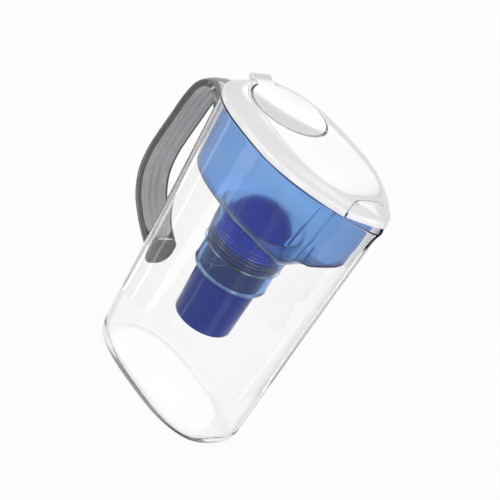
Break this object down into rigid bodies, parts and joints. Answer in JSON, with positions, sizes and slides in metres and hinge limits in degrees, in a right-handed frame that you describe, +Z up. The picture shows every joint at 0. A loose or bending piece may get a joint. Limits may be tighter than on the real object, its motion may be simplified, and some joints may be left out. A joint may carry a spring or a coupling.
{
  "type": "water filter pitcher",
  "caption": "Clear water filter pitcher with a lift-out blue reservoir, a filter cartridge, an open-backed handle and a white lid with a fill door and a spout flap.",
  "frame": {"origin": "middle of the base's underside", "axes": "+Z up, +X from the handle towards the spout, +Y across the pitcher"},
  "size_m": [0.2303, 0.111, 0.2576],
  "materials": {
    "clear_plastic": "clear, glossy",
    "grey_plastic": "satin",
    "grey_grip": "matt, ribbed",
    "blue_plastic": "translucent, glossy",
    "navy_plastic": "satin",
    "seal_rubber": "matt",
    "filter_granules": "granular",
    "filter_screen": "fine mesh",
    "white_plastic": "glossy",
    "pin_plastic": "glossy"
  },
  "bodies": {
    "pitcher": {"pitcher_body": "clear_plastic", "handle_shell": "grey_plastic", "handle_liner": "grey_grip"},
    "reservoir": {"reservoir": "blue_plastic"},
    "filter_seal": {"filter_seal": "seal_rubber"},
    "cartridge": {"filter_housing": "navy_plastic", "filter_cap": "navy_plastic", "filter_media": "filter_granules", "filter_top_screen": "filter_screen", "filter_bottom_screen": "filter_screen", "filter_drain": "navy_plastic"},
    "lid": {"lid_frame": "white_plastic", "lid_panel": "white_plastic", "spout_flap_pin": "pin_plastic"},
    "fill_door": {"fill_door": "white_plastic"},
    "spout_flap": {"spout_flap": "white_plastic"}
  },
  "joints": [
    {"name": "reservoir_lift", "type": "slide", "parent": "pitcher", "child": "reservoir", "axis": [0, 0, 1], "range_m": [0, 0.18]},
    {"name": "lid_lift", "type": "slide", "parent": "reservoir", "child": "lid", "axis": [0, 0, 1], "range_m": [0, 0.06]},
    {"name": "fill_door_hinge", "type": "hinge", "parent": "lid", "child": "fill_door", "pos_m": [-0.0131, 0, 0.2518], "axis": [0, 1, 0], "range_deg": [0, 95]},
    {"name": "spout_flap_hinge", "type": "hinge", "parent": "lid", "child": "spout_flap", "pos_m": [0.0746, 0, 0.2498], "axis": [0, -1, 0], "range_deg": [-12, 48]},
    {"name": "filter_lift", "type": "slide", "parent": "reservoir", "child": "filter_seal", "axis": [0, 0, 1], "range_m": [0, 0.045]},
    {"name": "filter_twist", "type": "hinge", "parent": "filter_seal", "child": "cartridge", "pos_m": [-0.002, 0, 0.13], "axis": [0, 0, 1], "range_deg": [0, 45]}
  ]
}
